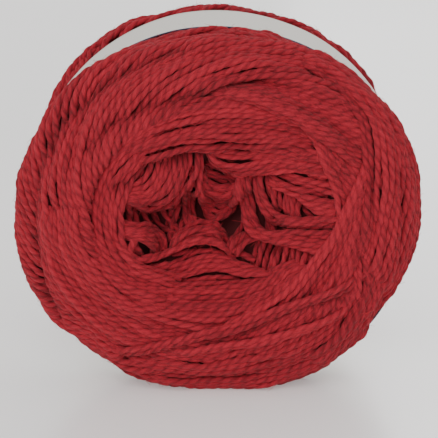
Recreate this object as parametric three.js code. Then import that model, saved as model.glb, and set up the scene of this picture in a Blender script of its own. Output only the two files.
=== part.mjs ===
// A 50 g skein of yarn, wound as a fat drum-shaped ball, with a plain paper band round its waist.
// Millimetres, +Z up. The winding axis lies along Y and the end with the collapsed middle faces -Y.
// The origin is on the floor, under the middle of the whole part.

import * as THREE from "three";

// Driving sizes of the wound ball
const BALL_WIDTH = 88;
const BALL_HEIGHT = 79.8;
const BALL_MIDDLE = 39.5; // height of the winding axis over the floor
const SLUMP = BALL_HEIGHT / BALL_WIDTH; // the ball is lower than it is wide
const MIDDLE_ACROSS = -0.46; // middle of the whole part, from the winding axis
const MIDDLE_ALONG = -0.3; // and from the middle plane

// Driving sizes of the paper band
const BAND_HALF_WIDTH = 42.6; // outside, from the axis to a side
const BAND_HALF_HEIGHT = 38.9;
const BAND_LENGTH = 26.2; // along the winding axis
const BAND_CENTRE = 1.1; // along the winding axis
const BAND_LEAN = 6 / 78; // its foot lies further forward than its top
const BAND_THICKNESS = 1;
const CLEARANCE = 0.4; // between the paper and the yarn
const BAND_MARGIN = 1.2; // how far past the paper's edge the yarn stays drawn in
const EDGE_SLOPE = 1.2; // how fast it swells out again past that
const CORNER_FULLNESS = 0.05; // the lower half is a little square at its corners
const FOOT_FULLNESS = 0.035; // and would reach lower, but for the floor

// How finely the solids are divided
const TURNS = 84; // round the winding axis
const FRONT_RINGS = 37; // from the middle of the face to the band
const RING_CROWDING = 0.3; // the rings lie closer together near the middle of a face
const BACK_RINGS = 25;
const WAIST_RINGS = 3; // under the band, at each end
const BAND_TURNS = 120;

// One end of the ball, from the middle of its face over the rim to the waist.
// reach: distance along the surface; radius: from the winding axis; depth: from the middle plane.
const PROFILE = [
  { reach: 0, radius: 0, depth: 23.5 },
  { reach: 6, radius: 6, depth: 24 },
  { reach: 12, radius: 11.8, depth: 26 },
  { reach: 18, radius: 17.2, depth: 29.2 },
  { reach: 24, radius: 22.9, depth: 31.9 },
  { reach: 30, radius: 28.8, depth: 33 },
  { reach: 36, radius: 34.7, depth: 31.9 },
  { reach: 42, radius: 39.7, depth: 28.6 },
  { reach: 48, radius: 43.1, depth: 23.7 },
  { reach: 54, radius: 43.9, depth: 17.8 },
  { reach: 60, radius: 42.2, depth: 12.1 },
  { reach: 66, radius: 41.2, depth: 6.2 },
  { reach: 72, radius: 41, depth: 0.2 },
];
const SIDE_REACH = 60;
const WAIST_REACH = 70;

// How far each rim stands out past a plain oval, going round from +X towards +Z.
const FRONT_SWELL = [
  { angle: 0, out: 0.2 },
  { angle: 20, out: 0.9 },
  { angle: 60, out: 0.8 },
  { angle: 90, out: 0.3 },
  { angle: 125, out: 0 },
  { angle: 180, out: 0.6 },
  { angle: 204, out: 1.6 },
  { angle: 225, out: 0.4 },
  { angle: 258, out: 1.5 },
  { angle: 278, out: 1.2 },
  { angle: 298, out: 1.6 },
  { angle: 320, out: 0.2 },
  { angle: 340, out: -0.6 },
];
const BACK_SWELL = [
  { angle: 0, out: 0 },
  { angle: 35, out: -0.6 },
  { angle: 55, out: 0 },
  { angle: 75, out: -0.9 },
  { angle: 100, out: 0.1 },
  { angle: 125, out: 0.8 },
  { angle: 180, out: 0 },
  { angle: 255, out: 1.4 },
  { angle: 285, out: 1.4 },
  { angle: 320, out: 0.4 },
];

// The main twists: each is a bundle of turns that runs round the face as one raised ridge.
// from, to: angles round the axis; start, end: reach there; bow: how far its middle bends outwards;
// half: half its width; rise: its height over the furrows, which lie TWIST_SINK under the plain form.
const TWIST_SINK = 1.1;
const TWIST_ROUNDNESS = 0.6; // lower makes the furrows between twists steeper
const TWIST_TAPER = 0.2; // share of a twist's run over which each of its ends sinks in
const FRONT_TWISTS = [
  { from: 202, to: 320, start: 51, end: 51, bow: 0, half: 4.4, rise: 1.7 },
  { from: 222, to: 318, start: 44.5, end: 45, bow: 0, half: 4.2, rise: 1.6 },
  { from: 236, to: 322, start: 36, end: 37, bow: 0.5, half: 3.4, rise: 1.5 },
  { from: 60, to: -72, start: 53, end: 49, bow: -1, half: 4.6, rise: 1.6 },
  { from: 150, to: 40, start: 43.5, end: 50, bow: -2, half: 3.6, rise: 1.6 },
  { from: 158, to: 50, start: 36.5, end: 42, bow: 0.5, half: 3.4, rise: 1.7 },
  { from: 146, to: 262, start: 38.5, end: 34, bow: 2.5, half: 3.5, rise: 1.8 },
  { from: 150, to: 252, start: 32.5, end: 29, bow: 1.5, half: 3.3, rise: 1.6 },
  { from: 176, to: 318, start: 26, end: 24.5, bow: 0, half: 3, rise: 1.4 },
  { from: 150, to: 325, start: 20.5, end: 18.5, bow: 0.5, half: 2.8, rise: 1.2 },
  { from: 158, to: 48, start: 29, end: 27.5, bow: 0, half: 3, rise: 1.9 },
  { from: 150, to: 40, start: 22.5, end: 23, bow: -1.5, half: 3.2, rise: 1.8 },
  { from: 78, to: 20, start: 30, end: 36.5, bow: 4, half: 3.2, rise: 2 },
  { from: 104, to: 30, start: 33, end: 31.5, bow: -0.8, half: 2.8, rise: 2.4 },
  { from: 52, to: -66, start: 26.5, end: 22, bow: 1.5, half: 2.6, rise: 2.2 },
  { from: 42, to: -80, start: 31.5, end: 27, bow: 1.5, half: 2.7, rise: 2.2 },
  { from: 60, to: -84, start: 44, end: 33, bow: -2, half: 3.2, rise: 2.3 },
  { from: 70, to: -78, start: 48.5, end: 40, bow: -2, half: 3.6, rise: 2 },
  { from: 100, to: 240, start: 48.5, end: 50, bow: 0, half: 5.6, rise: 2.3 },
  { from: 236, to: 334, start: 40, end: 34, bow: -9.5, half: 2.7, rise: 2.3 },
  { from: 250, to: 322, start: 36, end: 38, bow: -4, half: 2.5, rise: 2 },
];
const BACK_TWISTS = [
  { from: 150, to: 335, start: 20, end: 23, bow: 1, half: 3, rise: 1.6 },
  { from: -40, to: 160, start: 21, end: 22, bow: -1, half: 3, rise: 1.7 },
  { from: 120, to: 275, start: 29, end: 25, bow: 2, half: 3.2, rise: 1.9 },
  { from: 255, to: 405, start: 27, end: 31, bow: 0, half: 3.2, rise: 1.8 },
  { from: 10, to: 150, start: 30, end: 27, bow: 1, half: 3.2, rise: 1.8 },
  { from: 200, to: 330, start: 37, end: 35, bow: -2, half: 3.4, rise: 2 },
  { from: 300, to: 430, start: 38, end: 36, bow: 0.5, half: 3.4, rise: 1.7 },
  { from: 55, to: 220, start: 37, end: 36, bow: 1, half: 3.4, rise: 1.9 },
  { from: 20, to: 175, start: 46, end: 40, bow: 1, half: 3.8, rise: 2.1 },
  { from: 150, to: 300, start: 44, end: 42, bow: 1.5, half: 3.8, rise: 1.9 },
  { from: 270, to: 400, start: 45, end: 44, bow: -1, half: 3.8, rise: 2 },
  { from: 190, to: 345, start: 51, end: 52, bow: 0, half: 3.8, rise: 1.6 },
  { from: -30, to: 115, start: 52, end: 51, bow: 0, half: 3.8, rise: 1.7 },
  { from: 85, to: 215, start: 53, end: 50, bow: 0, half: 3.6, rise: 1.5 },
];

// Folds and gaps of the collapsed middle: soft ovals on the face, in its own plane.
// across, up: its centre; turn: how its long axis is turned; long, wide: half its sizes; rise: up or down.
const DEEPEST_GAP = -5.5;
const FRONT_FOLDS = [
  { name: "left flap", across: -9, up: 8, turn: 55, long: 9, wide: 6, rise: 3 },
  { name: "upper swag", across: 6, up: 12.5, turn: 5, long: 10, wide: 3, rise: 1.4 },
  { name: "right loop, hanging part", across: 5, up: 3, turn: 94, long: 8, wide: 2.2, rise: 2.6 },
  { name: "right loop, lying part", across: 14, up: -5, turn: 4, long: 10, wide: 2.4, rise: 2.4 },
  { name: "second loop, hanging part", across: 9, up: 4.5, turn: 106, long: 6, wide: 1.8, rise: 2 },
  { name: "second loop, lying part", across: 17, up: -0.5, turn: 2, long: 8, wide: 1.8, rise: 1.6 },
  { name: "lower lobe", across: -3, up: -5.5, turn: 0, long: 10, wide: 5, rise: 3.6 },
  { name: "left lobe", across: -16, up: -5.5, turn: -35, long: 5, wide: 4, rise: 1.6 },
  { name: "left gap", across: -11, up: -1.8, turn: -30, long: 4.5, wide: 2.4, rise: -5 },
  { name: "gap between the lobes", across: -12, up: -6.2, turn: 80, long: 4.5, wide: 1.8, rise: -4.5 },
  { name: "gap over the left lobe", across: -16.5, up: 0.4, turn: 4, long: 5, wide: 1.6, rise: -3.4 },
  { name: "middle slot", across: -2, up: 0.4, turn: 0, long: 9, wide: 2, rise: -4.5 },
  { name: "right pit", across: 3, up: -3, turn: 75, long: 4.6, wide: 2.4, rise: -5.5 },
  { name: "upper pit", across: 1, up: 8, turn: -30, long: 3.4, wide: 1.7, rise: -3 },
  { name: "gap between the loops", across: 7.3, up: 3, turn: 95, long: 3, wide: 1.5, rise: -3 },
  { name: "gap in the loops' bend", across: 10.8, up: -2, turn: 0, long: 3.6, wide: 1.6, rise: -3 },
  { name: "gap under the loops", across: 11, up: -8, turn: 12, long: 3.2, wide: 1.5, rise: -3 },
];
const BACK_FOLDS = [
  { name: "open middle", across: 1, up: -1, turn: 20, long: 9, wide: 6.5, rise: -7 },
  { name: "upper lip", across: -4, up: 9, turn: 160, long: 9, wide: 3, rise: 2 },
  { name: "side lip", across: 11, up: -4, turn: 75, long: 7, wide: 3, rise: 1.8 },
  { name: "lower lip", across: -4, up: -10, turn: 10, long: 9, wide: 3, rise: 1.6 },
];

const toRadians = THREE.MathUtils.degToRad;
const smooth = THREE.MathUtils.smoothstep;

// A smooth curve through a table's rows: the value of one column where another column has a given value.
function readCurve(rows, keyColumn, valueColumn, key) {
  const last = rows.length - 1;
  let i = 0;
  while (i < last - 1 && rows[i + 1][keyColumn] < key) i += 1;
  const slope = (k) => {
    const a = rows[Math.max(k - 1, 0)];
    const b = rows[Math.min(k + 1, last)];
    return (b[valueColumn] - a[valueColumn]) / (b[keyColumn] - a[keyColumn]);
  };
  const span = rows[i + 1][keyColumn] - rows[i][keyColumn];
  const t = (key - rows[i][keyColumn]) / span;
  return (
    rows[i][valueColumn] * (1 + 2 * t) * (1 - t) ** 2 +
    rows[i + 1][valueColumn] * t * t * (3 - 2 * t) +
    span * slope(i) * t * (1 - t) ** 2 -
    span * slope(i + 1) * t * t * (1 - t)
  );
}

// The rim's swell at an angle, blended between the rows on either side.
function readSwell(rows, angle) {
  const a = THREE.MathUtils.euclideanModulo(angle, 360);
  const i = rows.findLastIndex((row) => row.angle <= a);
  const next = rows[(i + 1) % rows.length];
  const end = i + 1 < rows.length ? next.angle : 360;
  const t = smooth((a - rows[i].angle) / (end - rows[i].angle), 0, 1);
  return rows[i].out + (next.out - rows[i].out) * t;
}

// Height of the highest twist over one place of the face.
function twistHeight(twists, angle, reach) {
  let height = 0;
  for (const twist of twists) {
    const sweep = twist.to - twist.from;
    for (const turn of [-360, 0, 360]) {
      const t = (angle + turn - twist.from) / sweep;
      if (t <= 0 || t >= 1) continue;
      const middle = twist.start + (twist.end - twist.start) * t + twist.bow * 4 * t * (1 - t);
      const off = (reach - middle) / twist.half;
      if (Math.abs(off) >= 1) continue;
      const taper = smooth(t, 0, TWIST_TAPER) * smooth(1 - t, 0, TWIST_TAPER);
      height = Math.max(height, twist.rise * taper * (1 - off * off) ** TWIST_ROUNDNESS);
    }
  }
  return height;
}

// What the folds and gaps of the middle add at one place of the face.
function foldHeight(folds, across, up) {
  let height = 0;
  for (const fold of folds) {
    const c = Math.cos(toRadians(fold.turn));
    const s = Math.sin(toRadians(fold.turn));
    const along = ((across - fold.across) * c + (up - fold.up) * s) / fold.long;
    const aside = ((up - fold.up) * c - (across - fold.across) * s) / fold.wide;
    const near = 1 - along * along - aside * aside;
    if (near > 0) height += fold.rise * near * near * (3 - 2 * near);
  }
  return Math.max(height, DEEPEST_GAP);
}

// Lower half a little squarer than an oval, as the ball sits down on its foot.
function fullness(angle) {
  const s = Math.sin(toRadians(angle));
  if (s >= 0) return 1;
  return 1 + CORNER_FULLNESS * Math.sin(toRadians(2 * angle)) ** 2 + FOOT_FULLNESS * s * s;
}

// Holds a point of the yarn inside the band, or over the floor. Past the band's edges the yarn swells out again.
function heldPoint(point) {
  const bandMiddle = BAND_CENTRE + BAND_LEAN * (point.z - BAND_HALF_HEIGHT);
  const past = Math.max(Math.abs(point.y - bandMiddle) - BAND_LENGTH / 2 - BAND_MARGIN, 0);
  const inset = BAND_THICKNESS + CLEARANCE - EDGE_SLOPE * past;
  const x = point.x / (BAND_HALF_WIDTH - inset);
  const z = (point.z - BAND_HALF_HEIGHT) / (BAND_HALF_HEIGHT - inset);
  const fill = Math.hypot(x, z) / fullness(THREE.MathUtils.radToDeg(Math.atan2(z, x)));
  if (fill > 1) {
    point.x /= fill;
    point.z = BAND_HALF_HEIGHT + (point.z - BAND_HALF_HEIGHT) / fill;
  }
  point.z = Math.max(point.z, inset, 0);
  return point;
}

const FRONT = { side: -1, swell: FRONT_SWELL, twists: FRONT_TWISTS, folds: FRONT_FOLDS };
const BACK = { side: 1, swell: BACK_SWELL, twists: BACK_TWISTS, folds: BACK_FOLDS };

// A place on the smooth end of the ball, without its relief.
function plainPoint(end, angle, reach) {
  const radius = readCurve(PROFILE, "reach", "radius", reach);
  const depth = readCurve(PROFILE, "reach", "depth", reach);
  const onRim = smooth(reach, 28, 44) * (1 - smooth(reach, 54, 62));
  const atWaist = smooth(reach, 56, 64);
  const out = (radius + readSwell(end.swell, angle) * onRim) * (1 + (fullness(angle) - 1) * atWaist);
  return new THREE.Vector3(
    out * Math.cos(toRadians(angle)),
    end.side * depth,
    BALL_MIDDLE + out * Math.sin(toRadians(angle)) * SLUMP,
  );
}

// The same place with twists and folds raised along the surface's own direction.
function woundPoint(end, angle, reach) {
  const step = 0.3;
  const r = Math.max(reach, step);
  const point = plainPoint(end, angle, reach);
  const alongReach = plainPoint(end, angle, r + step).sub(plainPoint(end, angle, r - step));
  const alongTurn = plainPoint(end, angle + 1, r).sub(plainPoint(end, angle - 1, r));
  const normal = alongReach.cross(alongTurn).normalize().multiplyScalar(-end.side);
  if (reach === 0) normal.set(0, end.side, 0);
  const across = reach * Math.cos(toRadians(angle));
  const up = reach * Math.sin(toRadians(angle));
  const onFace = 1 - smooth(reach, 54, 60);
  const twist = twistHeight(end.twists, angle, reach) - TWIST_SINK;
  const height = twist * onFace + foldHeight(end.folds, across, up);
  return heldPoint(point.addScaledVector(normal, height));
}

// Joins rings of points, from one pole to the other, into one closed body.
function closedBody(rings, firstPole, lastPole) {
  const turns = rings[0].length;
  const points = [firstPole, ...rings.flat(), lastPole];
  const index = [];
  const at = (ring, turn) => 1 + ring * turns + (turn % turns);
  for (let turn = 0; turn < turns; turn += 1) {
    index.push(0, at(0, turn), at(0, turn + 1));
    for (let ring = 0; ring + 1 < rings.length; ring += 1) {
      const corners = [at(ring, turn), at(ring + 1, turn), at(ring + 1, turn + 1), at(ring, turn + 1)];
      index.push(corners[0], corners[1], corners[2], corners[0], corners[2], corners[3]);
    }
    index.push(points.length - 1, at(rings.length - 1, turn + 1), at(rings.length - 1, turn));
  }
  return meshGeometry(points, index);
}

function meshGeometry(points, index) {
  const geometry = new THREE.BufferGeometry();
  geometry.setAttribute("position", new THREE.Float32BufferAttribute(points.flatMap((p) => p.toArray()), 3));
  geometry.setIndex(index);
  geometry.computeVertexNormals();
  return geometry;
}

// Reach of a face's ring, for its share of the way from the middle to the side.
function faceReach(share) {
  return SIDE_REACH * share * (1 + RING_CROWDING * (share - 1));
}

// The wound ball: rings of the front end, then rings of the back end.
function makeSkein() {
  const rings = [];
  const ringAt = (end, reach) =>
    Array.from({ length: TURNS }, (_, k) => woundPoint(end, (360 * k) / TURNS, reach));
  const waistStep = (WAIST_REACH - SIDE_REACH) / WAIST_RINGS;
  for (let k = 1; k <= FRONT_RINGS; k += 1) rings.push(ringAt(FRONT, faceReach(k / FRONT_RINGS)));
  for (let k = 1; k <= WAIST_RINGS; k += 1) rings.push(ringAt(FRONT, SIDE_REACH + waistStep * k));
  for (let k = WAIST_RINGS; k >= 1; k -= 1) rings.push(ringAt(BACK, SIDE_REACH + waistStep * k));
  for (let k = BACK_RINGS; k >= 1; k -= 1) rings.push(ringAt(BACK, faceReach(k / BACK_RINGS)));
  return closedBody(rings, woundPoint(FRONT, 0, 0), woundPoint(BACK, 0, 0));
}

// The band: a thin sleeve whose four edges are swept round the ball.
function makeBand() {
  const edges = [
    { inset: 0, along: -BAND_LENGTH / 2 },
    { inset: 0, along: BAND_LENGTH / 2 },
    { inset: BAND_THICKNESS, along: BAND_LENGTH / 2 },
    { inset: BAND_THICKNESS, along: -BAND_LENGTH / 2 },
  ];
  const points = [];
  const index = [];
  for (let k = 0; k < BAND_TURNS; k += 1) {
    const angle = (360 * k) / BAND_TURNS;
    const c = Math.cos(toRadians(angle)) * fullness(angle);
    const s = Math.sin(toRadians(angle)) * fullness(angle);
    for (const edge of edges) {
      const z = BAND_HALF_HEIGHT + (BAND_HALF_HEIGHT - edge.inset) * s;
      const y = BAND_CENTRE + edge.along + BAND_LEAN * (z - BAND_HALF_HEIGHT);
      points.push(new THREE.Vector3((BAND_HALF_WIDTH - edge.inset) * c, y, Math.max(z, edge.inset)));
    }
    const next = (k + 1) % BAND_TURNS;
    for (let e = 0; e < 4; e += 1) {
      const a = 4 * k + e;
      const b = 4 * k + ((e + 1) % 4);
      const c2 = 4 * next + ((e + 1) % 4);
      const d = 4 * next + e;
      index.push(a, b, c2, a, c2, d);
    }
  }
  return meshGeometry(points, index);
}

const yarn = new THREE.MeshStandardMaterial({ color: 0x92292c, roughness: 0.95, metalness: 0 });
const paper = new THREE.MeshStandardMaterial({ color: 0xcfcbc2, roughness: 0.7, metalness: 0 });

const skein = new THREE.Mesh(makeSkein(), yarn);
skein.name = "skein";
const band = new THREE.Mesh(makeBand(), paper);
band.name = "band";

const part = new THREE.Group();
part.add(skein, band);
part.position.set(-MIDDLE_ACROSS, -MIDDLE_ALONG, 0);

export default part;
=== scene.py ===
import math

import bpy
import numpy as np
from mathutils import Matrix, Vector
from mathutils.bvhtree import BVHTree


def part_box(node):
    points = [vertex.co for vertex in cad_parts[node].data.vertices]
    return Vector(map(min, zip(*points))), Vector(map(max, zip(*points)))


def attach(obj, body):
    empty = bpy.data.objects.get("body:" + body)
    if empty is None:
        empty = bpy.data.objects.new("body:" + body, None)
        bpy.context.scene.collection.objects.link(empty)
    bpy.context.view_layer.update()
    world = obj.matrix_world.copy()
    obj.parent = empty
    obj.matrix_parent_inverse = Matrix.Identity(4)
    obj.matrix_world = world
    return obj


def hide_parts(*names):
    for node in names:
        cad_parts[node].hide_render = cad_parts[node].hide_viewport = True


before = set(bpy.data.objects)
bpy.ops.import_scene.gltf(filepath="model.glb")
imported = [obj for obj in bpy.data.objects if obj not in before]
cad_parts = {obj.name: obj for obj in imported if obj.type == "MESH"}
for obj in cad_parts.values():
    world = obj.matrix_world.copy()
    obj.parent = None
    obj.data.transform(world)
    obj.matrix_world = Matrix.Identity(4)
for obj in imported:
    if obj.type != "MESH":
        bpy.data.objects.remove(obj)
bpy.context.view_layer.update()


# CAMERA
# A long lens stands a little above the table and looks slightly down at the end of the ball where the middle
# has fallen in.
camera_place = Vector((0.00046, -0.4497, 0.1434))
camera_aim = Vector((0.00046, 0.0003, 0.0324))
camera_data = bpy.data.cameras.new("camera")
camera_data.lens = 166.15
camera_data.sensor_width = 36
camera = bpy.data.objects.new("camera", camera_data)
camera.location = camera_place
camera.rotation_euler = (camera_aim - camera_place).to_track_quat("-Z", "Y").to_euler()
bpy.context.collection.objects.link(camera)
bpy.context.scene.camera = camera


# WOUND BODY OF THE SKEIN
# The mass of turns that lies under the ones that show: wool, machine-wound round a peg that was drawn out,
# so that both ends sink in the middle. It is darker, because little light gets down to it.
MM = 0.001
AXIS = np.array([0.46, 0.3, 39.5])  # middle of the winding axis, in mm
SLUMP = 79.8 / 88  # the ball's height over its width

# Every place on an end of the ball is read from two flat sizes, right and up of its middle, as if the end
# were pressed flat. Its distance from the middle is its reach over the surface.
REACH_STEP = 6.0
RIM_RADIUS = np.array([0, 6, 11.8, 17.2, 22.9, 28.8, 34.7, 39.7, 43.1, 43.9, 42.2, 41.2, 41])
RIM_DEPTH = np.array([23.5, 24, 26, 29.2, 31.9, 33, 31.9, 28.6, 23.7, 17.8, 12.1, 6.2, 0.2])
LAST_REACH = 70.0
TURN_STEPS = 180  # round the axis
REACH_STEPS = 71  # from the middle to the waist, one to a millimetre
RAY_START = 25  # mm outside the plain form
SEEN_REACH = (29, 43)  # between these the places turn from the line of sight to straight out of the ball
FIT_BLUR = (1.2, 1.0)  # steps round the axis and out from the middle
SOFT_BLUR = (3.0, 3.0)


def smoothstep(value, low, high):
    """0 up to low, 1 from high on, and a soft slope between."""
    t = np.clip((value - low) / (high - low), 0, 1)
    return t * t * (3 - 2 * t)


def on_profile(column, reach):
    """A smooth curve through the values of a column, which are REACH_STEP apart."""
    slope = np.gradient(column)
    at = np.clip(reach / REACH_STEP, 0, len(column) - 1.001)
    i = at.astype(int)
    t = at - i
    return (
        column[i] * (1 + 2 * t) * (1 - t) ** 2
        + column[i + 1] * t * t * (3 - 2 * t)
        + slope[i] * t * (1 - t) ** 2
        - slope[i + 1] * t * t * (1 - t)
    )


def blurred(values, spread, axis, wrap=False):
    """Values averaged along one axis with a bell curve of that spread, in steps."""
    half = int(3 * spread) + 1
    bell = np.exp(-0.5 * (np.arange(-half, half + 1) / spread) ** 2)
    bell /= bell.sum()
    pad = [(0, 0)] * values.ndim
    pad[axis] = (half, half)
    padded = np.pad(values, pad, mode="wrap" if wrap else "edge")
    return np.apply_along_axis(lambda row: np.convolve(row, bell, "valid"), axis, padded)


def plain_direction(side, angle, reach):
    """From the ball's middle to its plain form, without twists or pits."""
    radius = on_profile(RIM_RADIUS, reach)
    depth = on_profile(RIM_DEPTH, reach)
    return np.stack([radius * np.cos(angle), side * depth, radius * np.sin(angle) * SLUMP], -1)


def measured_end(tree, side, seen_from):
    """Where the frame's solid lies at each place of one end: the fallen middle as seen from one point in mm,
    the rest straight out from the ball's middle."""
    angles = np.arange(TURN_STEPS) * 2 * np.pi / TURN_STEPS
    reaches = np.arange(REACH_STEPS) * LAST_REACH / (REACH_STEPS - 1)
    angle, reach = np.meshgrid(angles, reaches, indexing="ij")
    outward = plain_direction(side, angle, reach)
    plain = AXIS + outward
    outward /= np.linalg.norm(outward, axis=-1, keepdims=True)
    toward = seen_from - plain
    toward /= np.linalg.norm(toward, axis=-1, keepdims=True)
    share = smoothstep(reach, *SEEN_REACH)[..., None]
    way = toward * (1 - share) + outward * share
    way /= np.linalg.norm(way, axis=-1, keepdims=True)
    over = np.zeros(angle.shape)
    for i in range(TURN_STEPS):
        for j in range(REACH_STEPS):
            hit = tree.ray_cast(Vector((plain[i, j] + way[i, j] * RAY_START) * MM), Vector(-way[i, j]))
            over[i, j] = RAY_START - hit[3] / MM
    over[:, 0] = over[:, 0].mean()
    fit = blurred(blurred(over, FIT_BLUR[1], 1), FIT_BLUR[0], 0, wrap=True)
    soft = blurred(blurred(over, SOFT_BLUR[1], 1), SOFT_BLUR[0], 0, wrap=True)
    return {"side": side, "fit": plain + way * fit[..., None], "soft": plain + way * soft[..., None]}


def place(end, flat, field="fit"):
    """Points in mm of places on one end of the ball, from their flat sizes."""
    reach = np.minimum(np.hypot(flat[..., 0], flat[..., 1]), LAST_REACH - 0.01)
    angle = np.arctan2(flat[..., 1], flat[..., 0]) % (2 * np.pi)
    a = angle / (2 * np.pi) * TURN_STEPS
    r = reach / LAST_REACH * (REACH_STEPS - 1)
    i = a.astype(int) % TURN_STEPS
    j = r.astype(int)
    fa = (a - a.astype(int))[..., None]
    fr = (r - j)[..., None]
    grid = end[field]
    after = (i + 1) % TURN_STEPS
    return (grid[i, j] * (1 - fr) + grid[i, j + 1] * fr) * (1 - fa) + (
        grid[after, j] * (1 - fr) + grid[after, j + 1] * fr
    ) * fa


def directions(end, flat):
    """How a point moves for a step right and a step up, and the way out of the ball."""
    step = 0.75
    right = (place(end, flat + [step, 0], "soft") - place(end, flat - [step, 0], "soft")) / (2 * step)
    up = (place(end, flat + [0, step], "soft") - place(end, flat - [0, step], "soft")) / (2 * step)
    out = np.cross(right, up) * -end["side"]
    return right, up, out / np.linalg.norm(out, axis=-1, keepdims=True)


def mesh_object(name, points, faces, material):
    """One smooth piece from points in mm and faces that all have as many corners."""
    mesh = bpy.data.meshes.new(name)
    mesh.vertices.add(len(points))
    mesh.vertices.foreach_set("co", (points * MM).astype(np.float32).ravel())
    corners = faces.shape[1]
    mesh.loops.add(faces.size)
    mesh.loops.foreach_set("vertex_index", faces.astype(np.int32).ravel())
    mesh.polygons.add(len(faces))
    mesh.polygons.foreach_set("loop_start", np.arange(0, faces.size, corners, dtype=np.int32))
    mesh.update(calc_edges=True)
    mesh.polygons.foreach_set("use_smooth", np.ones(len(faces), bool))
    mesh.materials.append(material)
    made = bpy.data.objects.new(name, mesh)
    bpy.context.collection.objects.link(made)
    return made


skein_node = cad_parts["skein"]
skein_tree = BVHTree.FromObject(skein_node, bpy.context.evaluated_depsgraph_get())
front = measured_end(skein_tree, -1, np.array(camera_place) / MM)
back = measured_end(skein_tree, 1, np.array([0, 900.0, 40]))

DEEP_WOOL = (0.07, 0.004, 0.006)

deep_wool = bpy.data.materials.new("deep wool")
deep_wool.use_nodes = True
deep_shader = deep_wool.node_tree.nodes["Principled BSDF"]
deep_shader.inputs["Base Color"].default_value = (*DEEP_WOOL, 1)
deep_shader.inputs["Roughness"].default_value = 1.0

CORE_DEPTH = 3.3  # under the solid's surface
MIDDLE_CORE_DEPTH = 3.6
LIP_REACH = (18, 27)  # where the fallen middle ends
CORE_TURNS = 150
CORE_RINGS = 46


def core_rings(end):
    """Rings of points under the surface of one end, from its middle to the waist."""
    rings = []
    angles = np.arange(CORE_TURNS) * 2 * np.pi / CORE_TURNS
    for k in range(1, CORE_RINGS + 1):
        reach = (LAST_REACH - 1) * k / CORE_RINGS
        flat = np.stack([reach * np.cos(angles), reach * np.sin(angles)], -1)
        depth = MIDDLE_CORE_DEPTH + (CORE_DEPTH - MIDDLE_CORE_DEPTH) * smoothstep(reach, *LIP_REACH)
        rings.append(place(end, flat) - directions(end, flat)[2] * depth)
    return rings


def make_core():
    """The body's skin, from one fallen middle round the waist to the other."""
    middle = np.zeros((1, 2))
    poles = [place(end, middle) - directions(end, middle)[2] * MIDDLE_CORE_DEPTH for end in (front, back)]
    rings = core_rings(front) + core_rings(back)[::-1]
    points = np.concatenate([poles[0], *rings, poles[1]])
    faces = []
    for ring in range(len(rings) - 1):
        for turn in range(CORE_TURNS):
            after = (turn + 1) % CORE_TURNS
            a = 1 + ring * CORE_TURNS
            b = a + CORE_TURNS
            faces.append((a + turn, b + turn, b + after))
            faces.append((a + turn, b + after, a + after))
    last = 1 + (len(rings) - 1) * CORE_TURNS
    for turn in range(CORE_TURNS):
        after = (turn + 1) % CORE_TURNS
        faces.append((0, 1 + turn, 1 + after))
        faces.append((len(points) - 1, last + after, last + turn))
    return mesh_object("wound_body", points, np.array(faces), deep_wool)


core = make_core()
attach(core, "root")
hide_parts("skein")


# TURNS OF YARN THAT SHOW
# Two-ply wool about 1.3 mm thick, wound on under light tension. Each turn is laid on what lies under it,
# in the order of winding, so that turns cross over and under; those that end up buried aren't spun.
YARN_RADIUS = 0.62  # where turns press on each other
YARN_LAYER = 0.55  # half the height that a turn adds
YARN_STEP = 0.57  # along a turn
PRESS_WIDTH = 0.42  # half the width that rests on what lies under it
PRESS_LENGTH = 0.5  # half the length that does at each step
UNTOUCHED = -99  # lower than any bed
CELL = 0.4  # of the bed, the height map that the turns pile up on
CELLS = 361
HALF_CELLS = CELLS // 2
SETTLED_WIDTH = 5.5  # mm over which the piled turns even out
BUNDLE_WIDTH = 1.6  # mm over which a bundle keeps its own height
BUNDLE_RELIEF = 0.7  # most that a bundle stands out or lies low
MIDDLE_RELIEF = 0.5  # the same in the fallen middle, whose pits the solid already has
BURIED = 0.9  # mean cover over a turn that hides it
LIE = -0.75  # how much lower than the solid's surface the turns lie
MIDDLE_LIE = -0.2
MIDDLE_FADE = (18, 26)  # reach over which the fallen middle's values fade out
LOWEST = 0.75  # middle of a turn that touches the table
SECOND_TURN = 0.8  # most that turns of one bundle pile up
STEP_UP = 0.4  # most that a turn stands over what is beside it
STEP_DOWN = 0.45
DEEPEST = -2.3
DRIFT = 0.1  # how far a turn strays sideways
DRIFT_WAVE = 7
SPACING_DRIFT = 0.06  # how unevenly a bundle's turns are spaced, next to 1 for a whole space
LEG_DRIFT = 0.1  # the same for turns that follow each other round the ball
SPANNED = 4.0  # steps over which a turn spans the dips below it
STIFFNESS = 2.4  # steps over which it bends
UNEVEN = 0.2  # how far turns stand over or under each other along their way
UNEVEN_MIDDLE = 0.42
UNEVEN_WAVE = 6
CUT_SINK = 0.8  # where a turn goes under others
CUT_RUN = 1.8
END_SINK = 1.6
END_RUN = 4.0
LOOP_CENTRE = 72  # from the middle of the end to the middle of a whole loop
LOOP_END = 66
LOOP_SPREAD = 0.618  # spreads the loops' nearest places evenly, whatever their count
FLAT_LEFT = 0.7  # how much deeper the turns lie on the far left
FULL_SHOULDER = 0.9  # how much higher they lie on the back's upper left, where it swells past the band
LOW_SHOULDER = 0.5  # how much lower they lie on its upper right
FAR_LEFT = (34, 44)  # from the axis, between these it comes in
SHOULDER_SIDE = (8, 22)  # the same for both shoulders
SHOULDER_HEIGHT = (45, 60)  # and over the table
random = np.random.default_rng(7)
near = np.arange(-3, 4) * CELL
near_cells = np.stack(np.meshgrid(near, near, indexing="ij"), -1).reshape(-1, 2)
for end in (front, back):
    end["bed"] = np.zeros((CELLS, CELLS))
    end["turns"] = []


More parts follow.
